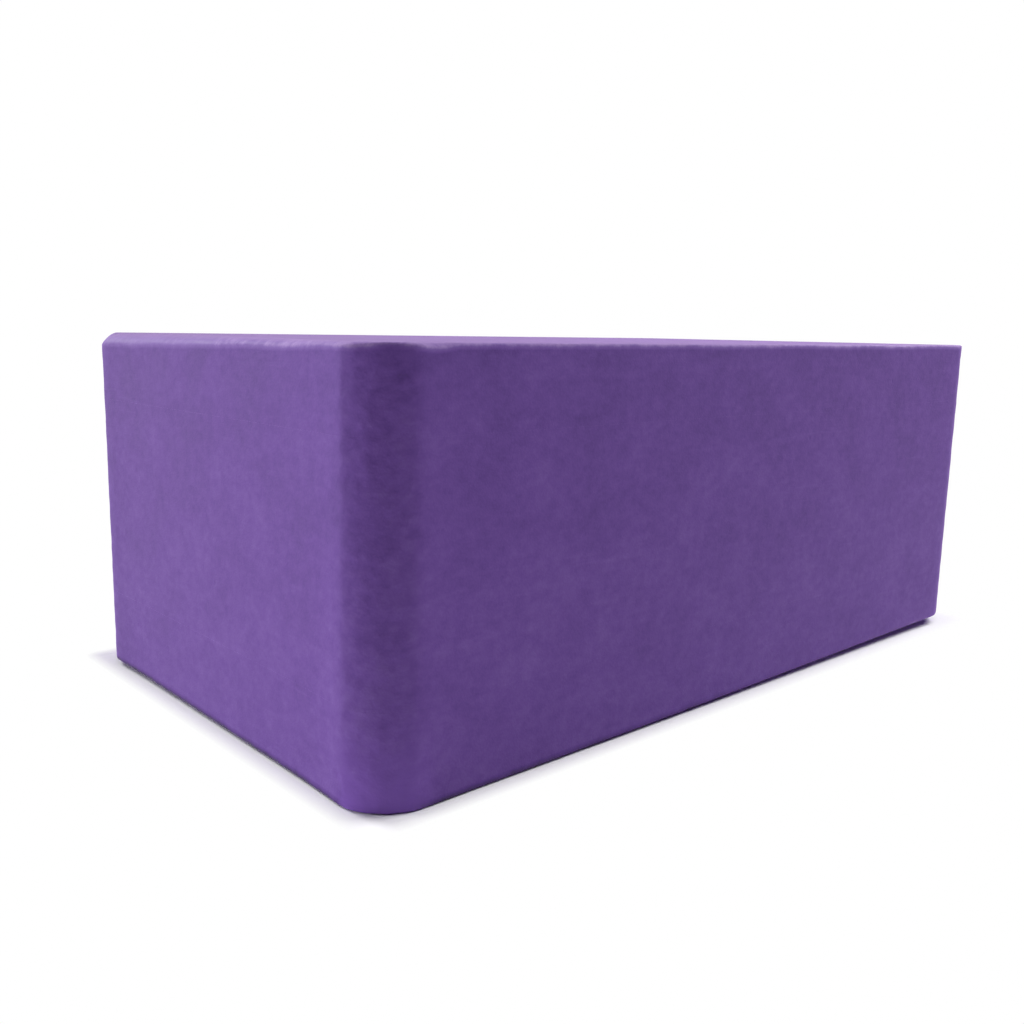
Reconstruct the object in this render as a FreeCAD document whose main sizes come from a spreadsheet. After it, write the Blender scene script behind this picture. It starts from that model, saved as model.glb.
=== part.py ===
import FreeCAD, Part
import os
import Sketcher

# A yoga block that lies on its largest face. Three sheets of closed-cell foam are glued face to
# face, then the stack is cut to one outline and its rims are rounded.
# Millimetres. The origin is the centre of the underside, +X runs along the block and +Z is up.

# Driving dimensions: name, value and what it measures
DIMENSIONS = (
    ("block_length", 230.0, "long side of the cut outline"),
    ("block_width", 130.0, "short side of the cut outline"),
    ("corner_radius", 11.5, "rounding of the upright corners"),
    ("rim_radius", 2.5, "rounding of the top and bottom rims"),
    ("bottom_thickness", 20.3, "bottom foam sheet"),
    ("core_thickness", 51.0, "middle foam sheet"),
    ("top_thickness", 16.8, "top foam sheet"),
    ("film_thickness", 0.2, "each film of glue"),
    ("film_setback", 0.8, "how far the glue stops short of the cut sides"),
)

# The stack from the floor up: label, thickness, inset from the outline and rounded rim
STACK = (
    ("bottom_foam_sheet", "bottom_thickness", None, "bottom"),
    ("lower_glue_film", "film_thickness", "film_setback", None),
    ("core_foam_sheet", "core_thickness", None, None),
    ("upper_glue_film", "film_thickness", "film_setback", None),
    ("top_foam_sheet", "top_thickness", None, "top"),
)

SHEET_NAME = "Dimensions"
SAME_PLACE = 1e-6


def size(*names):
    """Expression for the sum of some driving dimensions."""
    return " + ".join(f"{SHEET_NAME}.{name}" for name in names)


def add_dimensions(doc):
    """Put the driving dimensions in a sheet, one named cell each."""
    sheet = doc.addObject("Spreadsheet::Sheet", SHEET_NAME)
    for row, (name, value, meaning) in enumerate(DIMENSIONS, 1):
        sheet.set(f"A{row}", name)
        sheet.set(f"B{row}", str(value))
        sheet.set(f"C{row}", meaning)
        sheet.setAlias(f"B{row}", name)
    doc.recompute()


def add_outline(body, inset):
    """Sketch a rectangle centred on the body's origin, inset from the cut outline if asked."""
    sketch = body.newObject("Sketcher::SketchObject", "Outline")
    ground = next(plane for plane in body.Origin.OriginFeatures if plane.Role == "XY_Plane")
    sketch.AttachmentSupport = [(ground, "")]
    sketch.MapMode = "FlatFace"

    # Four lines drawn round the origin at any size, which the constraints then set
    corners = [FreeCAD.Vector(x, y, 0) for x, y in ((-1, -1), (1, -1), (1, 1), (-1, 1))]
    sides = [
        sketch.addGeometry(Part.LineSegment(corner, following))
        for corner, following in zip(corners, corners[1:] + corners[:1])
    ]
    front, right, back, left = sides
    start, end, origin = 1, 2, -1
    for side, following in zip(sides, sides[1:] + sides[:1]):
        sketch.addConstraint(Sketcher.Constraint("Coincident", side, end, following, start))
    for side in (front, back):
        sketch.addConstraint(Sketcher.Constraint("Horizontal", side))
    for side in (right, left):
        sketch.addConstraint(Sketcher.Constraint("Vertical", side))
    sketch.addConstraint(Sketcher.Constraint("Symmetric", front, start, back, start, origin, start))

    less = f" - 2 * {size(inset)}" if inset else ""
    for kind, side, name in (("DistanceX", front, "block_length"), ("DistanceY", right, "block_width")):
        index = sketch.addConstraint(Sketcher.Constraint(kind, side, start, side, end, 2.0))
        sketch.renameConstraint(index, name)
        sketch.setExpression(f"Constraints.{name}", size(name) + less)
    return sketch


def round_edges(body, base, name, radius, chosen):
    """Round the edges of a feature whose end points pass a test."""
    body.Document.recompute()
    edges = enumerate(base.Shape.Edges, 1)
    fillet = body.newObject("PartDesign::Fillet", name)
    fillet.Base = (base, [f"Edge{number}" for number, edge in edges if chosen(edge.Vertexes)])
    fillet.setExpression("Radius", radius)
    return fillet


def is_upright(ends):
    """Whether an edge runs from the lower face to the upper one."""
    return abs(ends[0].Z - ends[-1].Z) > SAME_PLACE


def lies_at(level):
    """Test for an edge that lies at one level."""
    return lambda ends: all(abs(end.Z - level) < SAME_PLACE for end in ends)


def add_layer(doc, label, thickness, inset, rim, below):
    """Build one layer of the stack: an outline padded to its thickness, with rounded corners."""
    body = doc.addObject("PartDesign::Body", label)
    body.Label = label
    if below:
        body.setExpression("Placement.Base.z", size(*below))

    pad = body.newObject("PartDesign::Pad", "Thickness")
    pad.Profile = add_outline(body, inset)
    pad.setExpression("Length", size(thickness))

    corner_radius = size("corner_radius") + (f" - {size(inset)}" if inset else "")
    corners = round_edges(body, pad, "Corners", corner_radius, is_upright)
    if rim:
        level = pad.Length.Value if rim == "top" else 0.0
        round_edges(body, corners, "Rim", size("rim_radius"), lies_at(level))
    return body


def check(doc, bodies):
    """Stop before anything is written if a feature failed or a body is not one sound solid."""
    for item in doc.Objects:
        if "Invalid" in item.State or "Error" in item.State:
            raise RuntimeError(f"{item.Label} failed: {item.State}")
    for body in bodies:
        shape = body.Shape
        if shape.isNull() or not shape.isValid() or len(shape.Solids) != 1:
            raise RuntimeError(f"{body.Label} is not one sound solid")


def main():
    doc = FreeCAD.newDocument("YogaBlock")
    add_dimensions(doc)

    bodies = []
    below = []
    for label, thickness, inset, rim in STACK:
        bodies.append(add_layer(doc, label, thickness, inset, rim, below))
        below.append(thickness)
    doc.recompute()
    check(doc, bodies)

    os.makedirs("parts", exist_ok=True)
    for body in bodies:
        body.Shape.exportStep(f"parts/{body.Label}.step")
        box = body.Shape.optimalBoundingBox()
        print(f"{body.Label}: {box.XLength:.1f} x {box.YLength:.1f} x {box.ZLength:.1f} mm")


main()
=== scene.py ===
import math
from typing import NamedTuple

import bmesh
import bpy
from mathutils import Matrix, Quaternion, Vector, noise


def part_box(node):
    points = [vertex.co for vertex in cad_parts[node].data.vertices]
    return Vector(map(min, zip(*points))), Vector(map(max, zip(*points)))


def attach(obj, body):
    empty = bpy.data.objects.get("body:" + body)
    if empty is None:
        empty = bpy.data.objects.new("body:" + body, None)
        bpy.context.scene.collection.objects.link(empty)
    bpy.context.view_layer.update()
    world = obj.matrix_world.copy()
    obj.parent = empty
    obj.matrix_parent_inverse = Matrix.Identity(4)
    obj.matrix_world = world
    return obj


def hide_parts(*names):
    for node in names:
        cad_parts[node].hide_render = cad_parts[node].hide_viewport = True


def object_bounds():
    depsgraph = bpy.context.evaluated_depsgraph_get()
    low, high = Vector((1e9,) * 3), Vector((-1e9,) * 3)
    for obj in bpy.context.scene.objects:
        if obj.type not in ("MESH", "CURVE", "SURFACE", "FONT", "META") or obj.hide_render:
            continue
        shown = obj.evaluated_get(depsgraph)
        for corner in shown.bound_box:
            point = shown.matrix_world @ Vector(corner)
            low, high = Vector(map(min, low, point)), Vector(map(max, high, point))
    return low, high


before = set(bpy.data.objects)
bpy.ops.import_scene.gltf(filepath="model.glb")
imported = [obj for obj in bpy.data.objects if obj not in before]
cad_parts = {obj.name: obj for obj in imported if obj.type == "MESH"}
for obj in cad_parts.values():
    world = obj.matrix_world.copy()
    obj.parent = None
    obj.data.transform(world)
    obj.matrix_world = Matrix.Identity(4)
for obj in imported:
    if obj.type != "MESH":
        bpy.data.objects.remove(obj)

# A purple foam yoga block on a white floor. Metres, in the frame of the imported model: the origin
# is the centre of the underside, +X runs along the block and +Z is up.

MM = 0.001
CAD_LOW, CAD_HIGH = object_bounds()
HALF_LENGTH = CAD_HIGH.x
HALF_WIDTH = CAD_HIGH.y
HEIGHT = CAD_HIGH.z

# The upright corners: a round cut that meets the ends at slight edges and runs softly into the long
# sides. The mesh's own outline is rounded less, and the cut goes in from there, though never so deep
# that its columns meet.
OUTLINE_RADIUS = 9.2 * MM
DEEPEST = 8.8 * MM
CUT_RADIUS = 13.0 * MM
END_EDGE_ANGLE = math.radians(16.5)
SIDE_EDGE_SOFTNESS = 0.25 * MM
END_EDGE_SOFTNESS = 0.16 * MM
CUT_AXIS = Vector((
    HALF_LENGTH - CUT_RADIUS * math.cos(END_EDGE_ANGLE),
    HALF_WIDTH - CUT_RADIUS,
))

# The top rim: a shallow bevel with a slight bow, deeper at the ends than along the sides, deeper
# towards the back, and uneven. It reaches further in than down, least of all at the upright corners.
END_RIM = 2.0 * MM
SIDE_RIM = 0.9 * MM
LEAST_RIM = 0.3 * MM
RIM_SPREAD = 2.0
CORNER_SPREAD = 1.1
RIM_TAPER = 0.6
RIM_VARIATION = 0.25
RIM_WAVE = 18 * MM
RIM_EDGE_ANGLE = math.radians(13)
RIM_STEPS = 6

# Places near the front left corner where the rim is cut deeper or less deep: x, y, reach, change
RIM_NICKS = (
    (-100.5 * MM, -65.0 * MM, 3.6 * MM, 0.65 * MM),
    (-110.0 * MM, -61.5 * MM, 2.6 * MM, -0.45 * MM),
)

# The foot: the edge of the underside stands a little off the floor, least at the near corner and most
# at the right end, and slopes down to the part that touches
FOOT_LIFT = 0.08 * MM
FOOT_LIFT_RIGHT = 2.5 * MM
FOOT_LIFT_BACK = 1.1 * MM
FOOT_BEND = 1.5
FOOT_ROUND = 0.6 * MM
FOOT_SLOPE = math.radians(14)
FOOT_STEPS = 4

# The rim is painted paler, partly for rubbing and partly as a painted sheen, most of all towards the front,
# and the flat top a little, as a painted sheen. The foot's edge is painted darker at the left end as painted
# shade, and paler towards the right one as a painted highlight. Both fade out on the sides.
RIM_WEAR_AND_PAINTED_SHEEN = 0.55
FRONT_WEAR_AND_PAINTED_SHEEN = 0.40
TOP_PAINTED_SHEEN = 0.3
FOOT_PAINTED_SHADE = -1.0
FOOT_PAINTED_HIGHLIGHT = 1.4
WEAR_AND_PAINT_FADE = 1.1 * MM

# The glue lines: the foam closes over the glue, which stops short of the sides
LIP = 0.006 * MM
LIP_BEND = 0.3
LIP_SUPPORT = 0.06 * MM
LIP_GAP = 0.004 * MM
GLUE_SETBACK = 0.8 * MM
LIP_DEPTH = 0.8 * GLUE_SETBACK

# Mesh spacing along the outline, near its corners and up the sides
COLUMN = 1.3 * MM
CORNER_COLUMN = 0.45 * MM
CORNER_STRETCH = 6 * MM
ROW = 0.6 * MM

# How far the flat faces lie below the ideal cut: depths and wavelengths. The ends are a little more
# hollow and more uneven than the long sides.
PLAIN_DEPTH = 0.12 * MM
END_PLAIN_DEPTH = 0.28 * MM
BROAD_DEPTH = 0.20 * MM
BROAD_WAVE = 75 * MM
GENTLE_DEPTH = 0.07 * MM
END_GENTLE_DEPTH = 0.16 * MM
GENTLE_WAVE = 13 * MM

# Beside an upright corner the foam stands up to the edge instead, most of all low down. The flat top
# rises to its edge over this share of its length and width.
BURR_RUN = 7 * MM
BURR_FADE = 0.35
TOP_EDGE_SHARE = 0.125

# The corners' cut is knobbly: depths, and wavelengths across and upwards. It is roughest at the near
# corner and calmer at the other three.
KNOB_DEPTH = 0.42 * MM
KNOB_RUN = 4.6 * MM
KNOB_RISE = 3.6 * MM
CHATTER_DEPTH = 0.16 * MM
CHATTER_RUN = 2.3 * MM
CHATTER_RISE = 1.7 * MM
CHATTER_FADE = 0.8 * MM
FAR_CORNERS = 0.4


class Sheet(NamedTuple):
    """A foam sheet: its name, the solid it stands for, its levels, its outer faces and its tint."""
    name: str
    node: str
    low: float
    high: float
    outer: tuple
    tint: float


def between(start, end, share):
    """The value a share of the way from start to end."""
    return start + (end - start) * share


def divided(start, end, spacing):
    """Even steps from start to end, both included, no further apart than spacing."""
    count = max(1, math.ceil(abs(end - start) / spacing))
    return [between(start, end, step / count) for step in range(count + 1)]


def corner_cut(point, normal):
    """How deep the round cut of an upright corner goes in at a point of the outline's first quarter."""
    reach = point - CUT_AXIS
    across = reach.dot(normal)
    if min(reach) < 0:
        return across - CUT_RADIUS - min(reach) ** 2 / (2 * CUT_RADIUS)
    return across - math.sqrt(across ** 2 - reach.length_squared + CUT_RADIUS ** 2)


def quarter_outline():
    """A quarter of the outline from the middle of a long side to the middle of an end.

    Returns (point, normal, cut) rows and the index of the corner's middle.
    """
    centre = Vector((HALF_LENGTH, HALF_WIDTH)) - Vector((OUTLINE_RADIUS, OUTLINE_RADIUS))
    side = divided(0, centre.x - CORNER_STRETCH, COLUMN)[:-1]
    side += divided(centre.x - CORNER_STRETCH, centre.x, CORNER_COLUMN)[:-1]
    end = divided(centre.y, centre.y - CORNER_STRETCH, CORNER_COLUMN)[1:]
    end += divided(centre.y - CORNER_STRETCH, 0, COLUMN)[1:]
    turn = divided(math.pi / 2, 0, CORNER_COLUMN / OUTLINE_RADIUS)

    rows = [(Vector((x, HALF_WIDTH)), Vector((0, 1))) for x in side]
    middle = len(rows) + len(turn) // 2
    for angle in turn:
        normal = Vector((math.cos(angle), math.sin(angle)))
        rows.append((centre + OUTLINE_RADIUS * normal, normal))
    rows += [(Vector((HALF_LENGTH, y)), Vector((1, 0))) for y in end]
    return [(point, normal, corner_cut(point, normal)) for point, normal in rows], middle


def full_outline():
    """The whole outline, anticlockwise from the middle of the +X end, and its four corner indices."""
    quarter, middle = quarter_outline()
    last = len(quarter) - 1
    rows, corners = [], []
    for sign_x, sign_y, backwards in ((1, 1, True), (-1, 1, False), (-1, -1, True), (1, -1, False)):
        corners.append(len(rows) + (last - middle if backwards else middle))
        mirror = Vector((sign_x, sign_y))
        for point, normal, cut in (quarter[::-1] if backwards else quarter)[:-1]:
            rows.append((point * mirror, normal * mirror, cut))
    return rows, corners


OUTLINE, OUTLINE_CORNERS = full_outline()


def wave(point, run, rise):
    """Smooth noise from 0 to 1, stretched by run across and by rise upwards."""
    return 0.5 + 0.5 * noise.noise(Vector((point.x / run, point.y / run, point.z / rise)))


def flat_depth(place, end_share=0.0):
    """How far a flat face of the foam lies below the ideal cut, more unevenly at the ends."""
    depth = between(PLAIN_DEPTH, END_PLAIN_DEPTH, end_share)
    depth += BROAD_DEPTH * wave(place, BROAD_WAVE, BROAD_WAVE)
    return depth + between(GENTLE_DEPTH, END_GENTLE_DEPTH, end_share) * wave(place, GENTLE_WAVE, GENTLE_WAVE)


def burr(place):
    """How much a side stands up to the edge of a corner's cut, from 0 to 1."""
    along = max(HALF_LENGTH - abs(place.x), HALF_WIDTH - abs(place.y)) - CUT_RADIUS
    return math.exp(-max(along, 0.0) / BURR_RUN) * (1 - BURR_FADE * place.z / HEIGHT)


def side_depth(place, normal, cut):
    """How far a side lies inside the outline, and how rough the corner's cut has left it (0 to 1)."""
    flat = flat_depth(place, normal.x ** 2) * (1 - burr(place))
    uneven = KNOB_DEPTH * wave(place, KNOB_RUN, KNOB_RISE)
    uneven += CHATTER_DEPTH * wave(place, CHATTER_RUN, CHATTER_RISE)
    strength = FAR_CORNERS if place.x > 0 or place.y > 0 else 1.0
    cut += strength * uneven * max(normal.x ** 2, min(1.0, max(0.0, cut / CHATTER_FADE)))

    # The deeper of the two, with the edge between them softened
    softness = SIDE_EDGE_SOFTNESS * normal.y ** 2 + END_EDGE_SOFTNESS * normal.x ** 2
    apart = math.hypot(cut - flat, softness)
    return (flat + cut + apart) / 2, strength * (0.5 + 0.5 * (cut - flat) / apart)


def rim_size(place, normal):
    """The bevel's depth, which is a little uneven."""
    size = between(SIDE_RIM, END_RIM, normal.x ** 2)
    size *= 1 + RIM_TAPER * place.y / HALF_WIDTH + RIM_VARIATION * noise.noise(place / RIM_WAVE)
    for x, y, reach, change in RIM_NICKS:
        away = math.hypot(place.x - x, place.y - y) / reach
        size += change * math.exp(-away ** 2)
    return max(size, LEAST_RIM)


def rim_profile(point, normal):
    """(inset, drop, tone mark) from the side to the flat top, over a bowed bevel. The tone mark paints the
    bevel paler, for rubbing and as a painted sheen.
    """
    size = rim_size(Vector((point.x, point.y, HEIGHT)), normal)
    spread = between(RIM_SPREAD, CORNER_SPREAD, abs(2 * normal.x * normal.y))
    # The rim's paler tone: rubbing, and a painted sheen
    scuff_and_painted_light = RIM_WEAR_AND_PAINTED_SHEEN - FRONT_WEAR_AND_PAINTED_SHEEN * point.y / HALF_WIDTH
    start, end = RIM_EDGE_ANGLE, math.pi / 2 - RIM_EDGE_ANGLE
    radius = size / (math.cos(start) - math.cos(end))
    rows = [(0.0, size + WEAR_AND_PAINT_FADE, 0.0)]
    for step in range(RIM_STEPS + 1):
        angle = between(start, end, step / RIM_STEPS)
        inset = spread * radius * (math.cos(start) - math.cos(angle))
        drop = radius * (math.sin(end) - math.sin(angle))
        rows.append((inset, drop, scuff_and_painted_light))
    return rows


def foot_profile(point):
    """(inset, drop, tone mark) from the side round a small edge and down a slope to the floor. The tone mark
    is painted shade at the left end and a painted highlight towards the right.
    """
    along = 0.5 + 0.5 * point.x / HALF_LENGTH
    across = 0.5 + 0.5 * point.y / HALF_WIDTH
    lift = FOOT_LIFT + FOOT_LIFT_RIGHT * along ** FOOT_BEND + FOOT_LIFT_BACK * across
    # Painted shade on the foot's edge at the left end, turning to a painted highlight towards the right
    scuff_and_painted_light = FOOT_PAINTED_SHADE + FOOT_PAINTED_HIGHLIGHT * along
    rows = [(0.0, lift + FOOT_ROUND + WEAR_AND_PAINT_FADE, 0.0)]
    for step in range(FOOT_STEPS + 1):
        angle = (math.pi / 2 - FOOT_SLOPE) * step / FOOT_STEPS
        inset = FOOT_ROUND * (1 - math.cos(angle))
        drop = lift + FOOT_ROUND * (1 - math.sin(angle))
        rows.append((inset, drop, scuff_and_painted_light))
    for step in range(1, FOOT_STEPS + 1):
        share = step / FOOT_STEPS
        rows.append((inset + share * drop / math.tan(FOOT_SLOPE), drop * (1 - share), 0.0))
    return rows


def seam_profile(overhang):
    """(inset, drop, tone mark) from the side to the glued face, which lies overhang below the lip. The tone
    mark, for rubbing and painted light, is 0 here.
    """
    return [
        (0.0, LIP + LIP_SUPPORT, 0.0),
        (0.0, LIP, 0.0),
        (LIP * LIP_BEND, LIP * LIP_BEND, 0.0),
        (LIP, 0.0, 0.0),
        (LIP_DEPTH, 0.0, 0.0),
        (GLUE_SETBACK, overhang, 0.0),
    ]


def column_profile(sheet, glued, point, normal):
    """(inset, height, tone mark for rubbing and painted light) up one column of a sheet, from its lower face
    to its upper one.
    """
    lower = foot_profile(point) if "lower" in sheet.outer else seam_profile(glued[0] - sheet.low)
    upper = rim_profile(point, normal) if "upper" in sheet.outer else seam_profile(sheet.high - glued[1])
    bottom = sheet.low + lower[0][1]
    top = sheet.high - upper[0][1]
    rows = round((sheet.high - sheet.low) / ROW)
    return (
        [(inset, sheet.low + drop, wear_and_painted_light) for inset, drop, wear_and_painted_light in reversed(lower)]
        + [(0.0, between(bottom, top, row / rows), 0.0) for row in range(1, rows)]
        + [(inset, sheet.high - drop, wear_and_painted_light) for inset, drop, wear_and_painted_light in upper]
    )


def ring_sides(ring):
    """The four sides of a ring: front and back run from the left, the ends from the front."""
    one, two, three, four = OUTLINE_CORNERS
    size = len(OUTLINE)
    front = [ring[index] for index in range(three, four + 1)]
    back = [ring[index] for index in range(two, one - 1, -1)]
    left = [ring[index] for index in range(three, two - 1, -1)]
    right = [ring[index % size] for index in range(four, one + size + 1)]
    return front, back, left, right


def flat_face(vertices, faces, marks, ring, is_top):
    """Close a ring with a grid of quads, blended from its four sides. The top sinks in a little."""
    front, back, left, right = ring_sides(ring)
    columns, rows = len(front) - 1, len(left) - 1
    grid = [front]
    for row in range(1, rows):
        line = [left[row]]
        for column in range(1, columns):
            u, v = column / columns, row / rows
            across = vertices[front[column]] * (1 - v) + vertices[back[column]] * v
            along = vertices[left[row]] * (1 - u) + vertices[right[row]] * u
            ends = (vertices[front[0]] * (1 - u) + vertices[front[-1]] * u) * (1 - v)
            ends += (vertices[back[0]] * (1 - u) + vertices[back[-1]] * u) * v
            point = across + along - ends
            if is_top:
                point.z -= flat_depth(point) * min(1.0, min(u, v, 1 - u, 1 - v) / TOP_EDGE_SHARE)
            line.append(len(vertices))
            vertices.append(point)
            # The flat top is painted a little paler, as a painted sheen
            marks.append((TOP_PAINTED_SHEEN if is_top else 0.0, 0.0))
        grid.append(line + [right[row]])
    grid.append(back)

    for lower, upper in zip(grid, grid[1:]):
        for column in range(columns):
            faces.append((lower[column], lower[column + 1], upper[column + 1], upper[column]))


def foam_skin(sheet):
    """The vertices of a foam sheet, its faces, and each vertex's tone mark, for rubbing and painted light,
    and roughness.
    """
    glued = [level.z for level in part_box(sheet.node)]
    vertices, faces, marks = [], [], []
    for point, normal, cut in OUTLINE:
        for inset, height, wear_and_painted_light in column_profile(sheet, glued, point, normal):
            depth, rough = side_depth(Vector((point.x, point.y, height)), normal, cut)
            place = point - normal * min(inset + depth, DEEPEST)
            vertices.append(Vector((place.x, place.y, height)))
            marks.append((wear_and_painted_light, rough))

    columns = len(OUTLINE)
    tall = len(vertices) // columns
    for column in range(columns):
        here, there = column * tall, (column + 1) % columns * tall
        for row in range(tall - 1):
            faces.append((here + row, there + row, there + row + 1, here + row + 1))

    for side, first in (("lower", 0), ("upper", tall - 1)):
        ring = [column * tall + first for column in range(columns)]
        if side in sheet.outer:
            flat_face(vertices, faces, marks, ring, is_top=side == "upper")
        else:
            faces.append(tuple(ring))
    return vertices, faces, marks


def add_sheet(sheet):
    """Add one foam sheet in place of its solid."""
    vertices, faces, marks = foam_skin(sheet)
    mesh = bpy.data.meshes.new(sheet.name)
    mesh.from_pydata(vertices, [], faces)
    for mark, values in zip(("wear_and_painted_light", "rough"), zip(*marks)):
        mesh.attributes.new(mark, "FLOAT", "POINT").data.foreach_set("value", values)
    shape = bmesh.new()
    shape.from_mesh(mesh)
    bmesh.ops.recalc_face_normals(shape, faces=shape.faces)
    shape.to_mesh(mesh)
    shape.free()
    mesh.shade_smooth()
    mesh.materials.append(foam_material(sheet.name, sheet.tint))

    piece = bpy.data.objects.new(sheet.name, mesh)
    bpy.context.collection.objects.link(piece)
    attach(piece, "root")
    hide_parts(sheet.node)


class Graph:
    """A material's or world's node tree, with short calls for adding and joining nodes."""

    def __init__(self, owner):
        owner.use_nodes = True
        self.tree = owner.node_tree
        self.tree.nodes.clear()

    def add(self, kind, inputs=(), **settings):
        node = self.tree.nodes.new(kind)
        for name, value in settings.items():
            setattr(node, name, value)
        for name, value in dict(inputs).items():
            self.set(node.inputs[name], value)
        return node

    def set(self, socket, value):
        if isinstance(value, bpy.types.NodeSocket):
            self.tree.links.new(value, socket)
        else:
            socket.default_value = value

    def math(self, operation, first, second=0.0):
        return self.add("ShaderNodeMath", {0: first, 1: second}, operation=operation).outputs[0]

    def spread(self, value, low, high, start=0.0, end=1.0):
        """Map a value from low..high to start..end."""
        node = self.add("ShaderNodeMapRange", {
            "Value": value, "From Min": low, "From Max": high, "To Min": start, "To Max": end,
        })
        return node.outputs["Result"]

    def texture(self, place, scale, detail, roughness):
        """A noise texture, whose scale is one number or one for each axis."""
        if isinstance(scale, tuple):
            place = self.add("ShaderNodeMapping", {"Vector": place, "Scale": scale}).outputs["Vector"]
            scale = 1.0
        node = self.add("ShaderNodeTexNoise", {
            "Vector": place, "Scale": scale, "Detail": detail, "Roughness": roughness,
        })
        return node.outputs["Fac"]

    def cells(self, place, scale):
        """The distance from the middle of the nearest of many cells."""
        node = self.add("ShaderNodeTexVoronoi", {"Vector": place, "Scale": scale}, feature="F1")
        return node.outputs["Distance"]

    def part(self, vector, axis):
        return self.add("ShaderNodeSeparateXYZ", {"Vector": vector}).outputs[axis]

    def mark(self, name):
        return self.add("ShaderNodeAttribute", attribute_name=name).outputs["Fac"]

    def ramp(self, value, *stops):
        """Colours that a value runs through, as (value, colour) stops from the lowest to the highest."""
        low, high = stops[0][0], stops[-1][0]
        node = self.add("ShaderNodeValToRGB", {"Fac": self.spread(value, low, high)})
        elements = node.color_ramp.elements
        elements[0].color = stops[0][1]
        elements[1].color = stops[-1][1]
        for level, colour in stops[1:-1]:
            elements.new((level - low) / (high - low)).color = colour
        return node.outputs["Color"]

    def blend(self, first, second, share):
        """Mix two colours by a share of the second."""
        return self.add("ShaderNodeMix", {0: share, 6: first, 7: second}, data_type="RGBA").outputs[2]

    def mixed(self, first, second, share):
        """Mix two shaders by a share of the second."""
        return self.add("ShaderNodeMixShader", {0: share, 1: first, 2: second}).outputs[0]

    def bump(self, height, distance, strength, normal=None):
        inputs = {"Height": height, "Distance": distance, "Strength": strength}
        if normal:
            inputs["Normal"] = normal
        return self.add("ShaderNodeBump", inputs).outputs["Normal"]


# The foam's noise textures: scale per metre (all round, or across, across and upwards), detail and
# roughness
MOTTLE = (62.0, 3.0, 0.55)
GRAIN = ((380.0, 380.0, 480.0), 3.0, 0.62)
CHATTER = ((300.0, 300.0, 440.0), 2.0, 0.6)
CUT_LINES = ((6.0, 6.0, 190.0), 2.0, 0.5)
CUT_DASHES = ((85.0, 85.0, 760.0), 1.0, 0.5)
DASH_PATCHES = (17.0, 1.0, 0.5)

# Where the noise of the cut's level marks begins to show, and where it shows in full
LINES_SHOW = (0.60, 0.74)
DASHES_SHOW = (0.58, 0.74)
PATCHES_SHOW = (0.46, 0.62)

# Fine closed cells, and sunken spots about a millimetre across: number per metre, and how far a spot
# reaches from its middle
CELLS = 2100.0
SPOTS = 70.0
SPOT_INNER = 0.015
SPOT_OUTER = 0.055

# How each texture and mark moves the foam's tone: its middle and its share
TONE_SHARES = {
    "mottle": (0.5, 1.05),
    "grain": (0.5, 1.00),
    "cells": (0.45, -0.15),
    "lines": (0.0, 0.07),
    "dashes": (0.0, 0.08),
    # Lighter towards the floor and darker towards the top: painted bounce light
    "rise": (0.5, -0.34),
    "chatter": (0.0, 0.80),
    # The tone mark: rubbing, and painted shade, highlight and sheen
    "wear_and_painted_light": (0.0, 1.1),
    # Sunken spots painted darker: painted shade in the pits
    "spot": (0.0, -0.16),
}

# How each texture shapes the surface: depth and strength
BUMPS = {
    "grain": (0.12 * MM, 0.5),
    "chatter": (0.30 * MM, 0.6),
    "marks": (0.04 * MM, 0.4),
    "cells": (0.05 * MM, 0.4),
    "unspotted": (0.10 * MM, 0.5),
}

# Foam colours by tone, from the painted shade of the foot to the rim, painted paler for rubbing and as a
# painted sheen. Plain foam is in the middle.
PLAIN_TONE = 0.5
FOAM_TONES = (
    (-0.6, (0.060, 0.040, 0.115, 1.0)),
    (0.0, (0.1135, 0.0494, 0.2560, 1.0)),
    (PLAIN_TONE, (0.1510, 0.0695, 0.322, 1.0)),
    (1.0, (0.1905, 0.0990, 0.3770, 1.0)),
    (1.6, (0.365, 0.240, 0.540, 1.0)),
)

# Foam greyed by a painted sheen, by the same tones, and how level a face is where the painted sheen begins
PAINTED_SHEEN_TONES = (
    (0.0, (0.135, 0.081, 0.212, 1.0)),
    (1.0, (0.241, 0.156, 0.360, 1.0)),
)
PAINTED_SHEEN_BEGINS = 0.85
PAINTED_SHEEN_SHARE = 0.8

# The corners are painted a brighter purple towards the floor, from this height down: painted bounce light
# from the floor
PAINTED_CORNER_BOUNCE = (0.238, 0.112, 0.505, 1.0)
PAINTED_BOUNCE_HEIGHT = 24 * MM

FOAM_SHEEN = (0.78, 0.44, 1.0, 1.0)
MOTTLE_RANGE = (0.2, 0.8)
FOAM_ROUGHNESS = (0.60, 0.74)


def foam_textures(graph, place, height):
    """The foam's textures and marks by name, each a socket with one number."""
    spot = graph.spread(graph.cells(place, SPOTS), SPOT_INNER, SPOT_OUTER, 1.0, 0.0)
    lines = graph.spread(graph.texture(place, *CUT_LINES), *LINES_SHOW)
    dashes = graph.spread(graph.texture(place, *CUT_DASHES), *DASHES_SHOW)
    patches = graph.spread(graph.texture(place, *DASH_PATCHES), *PATCHES_SHOW)
    dashes = graph.math("MULTIPLY", dashes, patches)
    chatter = graph.math("SUBTRACT", graph.texture(place, *CHATTER), 0.5)
    return {
        "mottle": graph.texture(place, *MOTTLE),
        "grain": graph.texture(place, *GRAIN),
        "cells": graph.cells(place, CELLS),
        "lines": lines,
        "dashes": dashes,
        "marks": graph.math("ADD", lines, dashes),
        "rise": graph.spread(height, 0.0, HEIGHT),
        "chatter": graph.math("MULTIPLY", chatter, graph.mark("rough")),
        "wear_and_painted_light": graph.mark("wear_and_painted_light"),
        "spot": spot,
        "unspotted": graph.math("SUBTRACT", 1.0, spot),
    }


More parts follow.
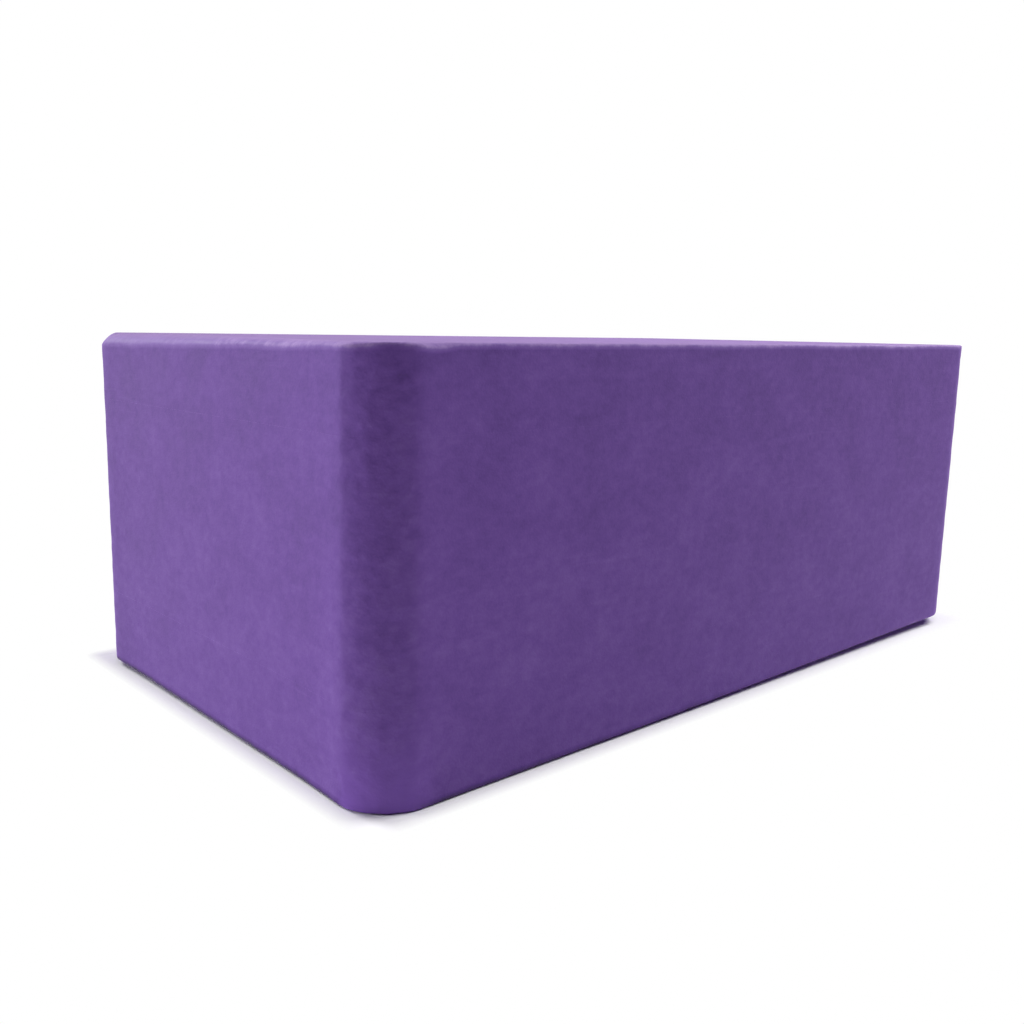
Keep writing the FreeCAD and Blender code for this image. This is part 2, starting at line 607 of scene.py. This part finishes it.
def foam_colour(graph, textures, height, tint):
    """The foam's colour: its tone, with painted bounce light at the corners' feet and a painted sheen that
    greys the level top.
    """
    tone = PLAIN_TONE + tint
    for name, (middle, share) in TONE_SHARES.items():
        change = graph.math("MULTIPLY", graph.math("SUBTRACT", textures[name], middle), share)
        tone = graph.math("ADD", change, tone)
    colour = graph.ramp(tone, *FOAM_TONES)

    # Painted bounce light: the corners' feet brighter towards the floor
    low = graph.spread(height, 0.0, PAINTED_BOUNCE_HEIGHT, 1.0, 0.0)
    painted_bounce = graph.math("MULTIPLY", graph.math("MULTIPLY", low, low), graph.mark("rough"))
    colour = graph.blend(colour, PAINTED_CORNER_BOUNCE, painted_bounce)

    # Painted sheen: faces that look up are greyed
    upward = graph.part(graph.add("ShaderNodeNewGeometry").outputs["Normal"], "Z")
    painted_sheen = graph.spread(upward, PAINTED_SHEEN_BEGINS, 1.0, 0.0, PAINTED_SHEEN_SHARE)
    return graph.blend(colour, graph.ramp(tone, *PAINTED_SHEEN_TONES), painted_sheen)


def foam_material(name, tint):
    """Closed-cell foam: an even grain, soft mottling, level marks of the cut and sunken spots."""
    material = bpy.data.materials.new(name)
    graph = Graph(material)
    place = graph.add("ShaderNodeTexCoord").outputs["Object"]
    height = graph.part(place, "Z")
    textures = foam_textures(graph, place, height)
    normal = None
    for texture, (depth, strength) in BUMPS.items():
        normal = graph.bump(textures[texture], depth, strength, normal)

    surface = graph.add("ShaderNodeBsdfPrincipled", {
        "Base Color": foam_colour(graph, textures, height, tint),
        "Roughness": graph.spread(textures["mottle"], *MOTTLE_RANGE, *FOAM_ROUGHNESS),
        "Specular IOR Level": 0.18,
        "Sheen Weight": 0.12,
        "Sheen Roughness": 0.35,
        "Sheen Tint": FOAM_SHEEN,
        "Normal": normal,
    })
    graph.add("ShaderNodeOutputMaterial", {"Surface": surface.outputs["BSDF"]})
    return material


# The glue's brush marks: scale per metre along, across and upwards, detail and roughness
GLUE_BRUSH = ((25.0, 240.0, 240.0), 4.0, 0.6)
GLUE_TONES = (
    (0.0, (0.10, 0.06, 0.16, 1.0)),
    (1.0, (0.24, 0.16, 0.30, 1.0)),
)
GLUE_BRUSH_RANGE = (0.3, 0.7)
GLUE_ROUGHNESS = (0.35, 0.6)
GLUE_BUMP = (0.05 * MM, 0.4)


def glue_material():
    """A dull rubbery film of contact adhesive, thicker in some places than in others."""
    material = bpy.data.materials.new("glue")
    graph = Graph(material)
    place = graph.add("ShaderNodeTexCoord").outputs["Object"]
    brushed = graph.texture(place, *GLUE_BRUSH)
    surface = graph.add("ShaderNodeBsdfPrincipled", {
        "Base Color": graph.ramp(brushed, *GLUE_TONES),
        "Roughness": graph.spread(brushed, *GLUE_BRUSH_RANGE, *GLUE_ROUGHNESS),
        "Normal": graph.bump(brushed, *GLUE_BUMP),
    })
    graph.add("ShaderNodeOutputMaterial", {"Surface": surface.outputs["BSDF"]})
    return material


def seen_directly(graph):
    """1 for rays from the camera, also by way of a reflection or through glass."""
    path = graph.add("ShaderNodeLightPath").outputs
    seen = graph.math("MAXIMUM", path["Is Camera Ray"], path["Is Glossy Ray"])
    return graph.math("MAXIMUM", seen, path["Is Transmission Ray"])


# The floor: its size, its paint, and how far from the block its shadow shows in full and ends
FLOOR_HALF = 3.0
FLOOR_SQUARES = 8
WHITE = (1.0, 1.0, 1.0, 1.0)
FLOOR_PAINT = (0.95, 0.95, 0.95, 1.0)
SHADOW_REACH = (0.5 * MM, 4.5 * MM)


def floor_material():
    """Matt white: it lights the block as pale paint, and shows as white with the block's shadow."""
    material = bpy.data.materials.new("floor")
    graph = Graph(material)
    place = graph.add("ShaderNodeTexCoord").outputs["Object"]
    squares = []
    for axis, half in (("X", HALF_LENGTH), ("Y", HALF_WIDTH)):
        beyond = graph.math("SUBTRACT", graph.math("ABSOLUTE", graph.part(place, axis)), half)
        beyond = graph.math("MAXIMUM", beyond, 0.0)
        squares.append(graph.math("MULTIPLY", beyond, beyond))
    away = graph.spread(graph.math("SQRT", graph.math("ADD", *squares)), *SHADOW_REACH)

    paint = graph.add("ShaderNodeBsdfDiffuse", {"Color": FLOOR_PAINT}).outputs[0]
    shaded = graph.add("ShaderNodeBsdfDiffuse", {"Color": WHITE}).outputs[0]
    white = graph.add("ShaderNodeEmission", {"Color": WHITE, "Strength": 1.0}).outputs[0]
    surface = graph.mixed(paint, graph.mixed(shaded, white, away), seen_directly(graph))
    graph.add("ShaderNodeOutputMaterial", {"Surface": surface})
    return material


def add_floor():
    shape = bmesh.new()
    bmesh.ops.create_grid(shape, x_segments=FLOOR_SQUARES, y_segments=FLOOR_SQUARES, size=FLOOR_HALF)
    mesh = bpy.data.meshes.new("floor")
    shape.to_mesh(mesh)
    shape.free()
    mesh.materials.append(floor_material())
    floor = bpy.data.objects.new("floor", mesh)
    bpy.context.collection.objects.link(floor)


def add_world():
    """White behind everything, which lights nothing."""
    world = bpy.data.worlds.new("studio")
    bpy.context.scene.world = world
    graph = Graph(world)
    surface = graph.add("ShaderNodeBackground", {"Color": WHITE, "Strength": seen_directly(graph)})
    graph.add("ShaderNodeOutputWorld", {"Surface": surface.outputs[0]})


# Soft boxes that face the block: name, azimuth from +X, elevation, distance, width and the light that
# arrives, where 1 shows a colour as it is written
SOFT_BOXES = (
    ("key", 103.0, 30.0, 6.0, 1.8, 0.77),
    ("low_key", 140.0, 12.0, 6.0, 1.8, 0.555),
    ("fill", 340.0, 40.0, 0.8, 0.4, 0.92),
    ("overhead", 270.0, 88.0, 1.2, 0.5, 0.32),
)


def add_lights():
    for name, azimuth, elevation, distance, width, level in SOFT_BOXES:
        lamp = bpy.data.lights.new(name, "AREA")
        lamp.size = width
        lamp.energy = level * (math.pi * distance) ** 2
        box = bpy.data.objects.new(name, lamp)
        bpy.context.collection.objects.link(box)
        around, up = math.radians(azimuth), math.radians(elevation)
        away = Vector((math.cos(around) * math.cos(up), math.sin(around) * math.cos(up), math.sin(up)))
        box.location = Vector((0, 0, HEIGHT / 2)) + away * distance
        box.rotation_euler = away.to_track_quat("Z", "Y").to_euler()


# The photograph's view, measured on the block's edges
EYE = Vector((-215.79, -210.14, 90.95)) * MM
YAW = math.radians(40.98)
PITCH = math.radians(10.11)
ROLL = math.radians(0.97)
FOCAL_PIXELS = 1025.5
PICTURE_PIXELS = 1024.0
CENTRE_OFFSET_PIXELS = 31.0
SENSOR = 36.0
NEAREST = 10 * MM


def add_camera():
    lens = bpy.data.cameras.new("camera")
    lens.sensor_width = SENSOR
    lens.lens = SENSOR * FOCAL_PIXELS / PICTURE_PIXELS
    lens.shift_x = CENTRE_OFFSET_PIXELS / PICTURE_PIXELS
    lens.clip_start = NEAREST
    camera = bpy.data.objects.new("camera", lens)
    bpy.context.collection.objects.link(camera)
    aim = Vector((math.sin(YAW) * math.cos(PITCH), math.cos(YAW) * math.cos(PITCH), -math.sin(PITCH)))
    camera.location = EYE
    camera.rotation_mode = "QUATERNION"
    camera.rotation_quaternion = aim.to_track_quat("-Z", "Y") @ Quaternion((0, 0, 1), ROLL)
    bpy.context.scene.camera = camera


# The bottom sheet is a shade darker than the other two
BOTTOM_TINT = -0.05


def add_block():
    """Three foam sheets that meet at the glue lines, and the glue between them."""
    lower_seam = (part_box("bottom_foam_sheet")[1].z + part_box("core_foam_sheet")[0].z) / 2
    upper_seam = (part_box("core_foam_sheet")[1].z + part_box("top_foam_sheet")[0].z) / 2
    gap = LIP_GAP / 2
    add_sheet(Sheet("bottom_foam", "bottom_foam_sheet", 0.0, lower_seam - gap, ("lower",), BOTTOM_TINT))
    add_sheet(Sheet("core_foam", "core_foam_sheet", lower_seam + gap, upper_seam - gap, (), 0.0))
    add_sheet(Sheet("top_foam", "top_foam_sheet", upper_seam + gap, HEIGHT, ("upper",), 0.0))

    glue = glue_material()
    for node in ("lower_glue_film", "upper_glue_film"):
        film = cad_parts[node]
        film.data.materials.clear()
        film.data.materials.append(glue)


bpy.context.scene.view_settings.view_transform = "Standard"
add_block()
add_floor()
add_world()
add_lights()
add_camera()
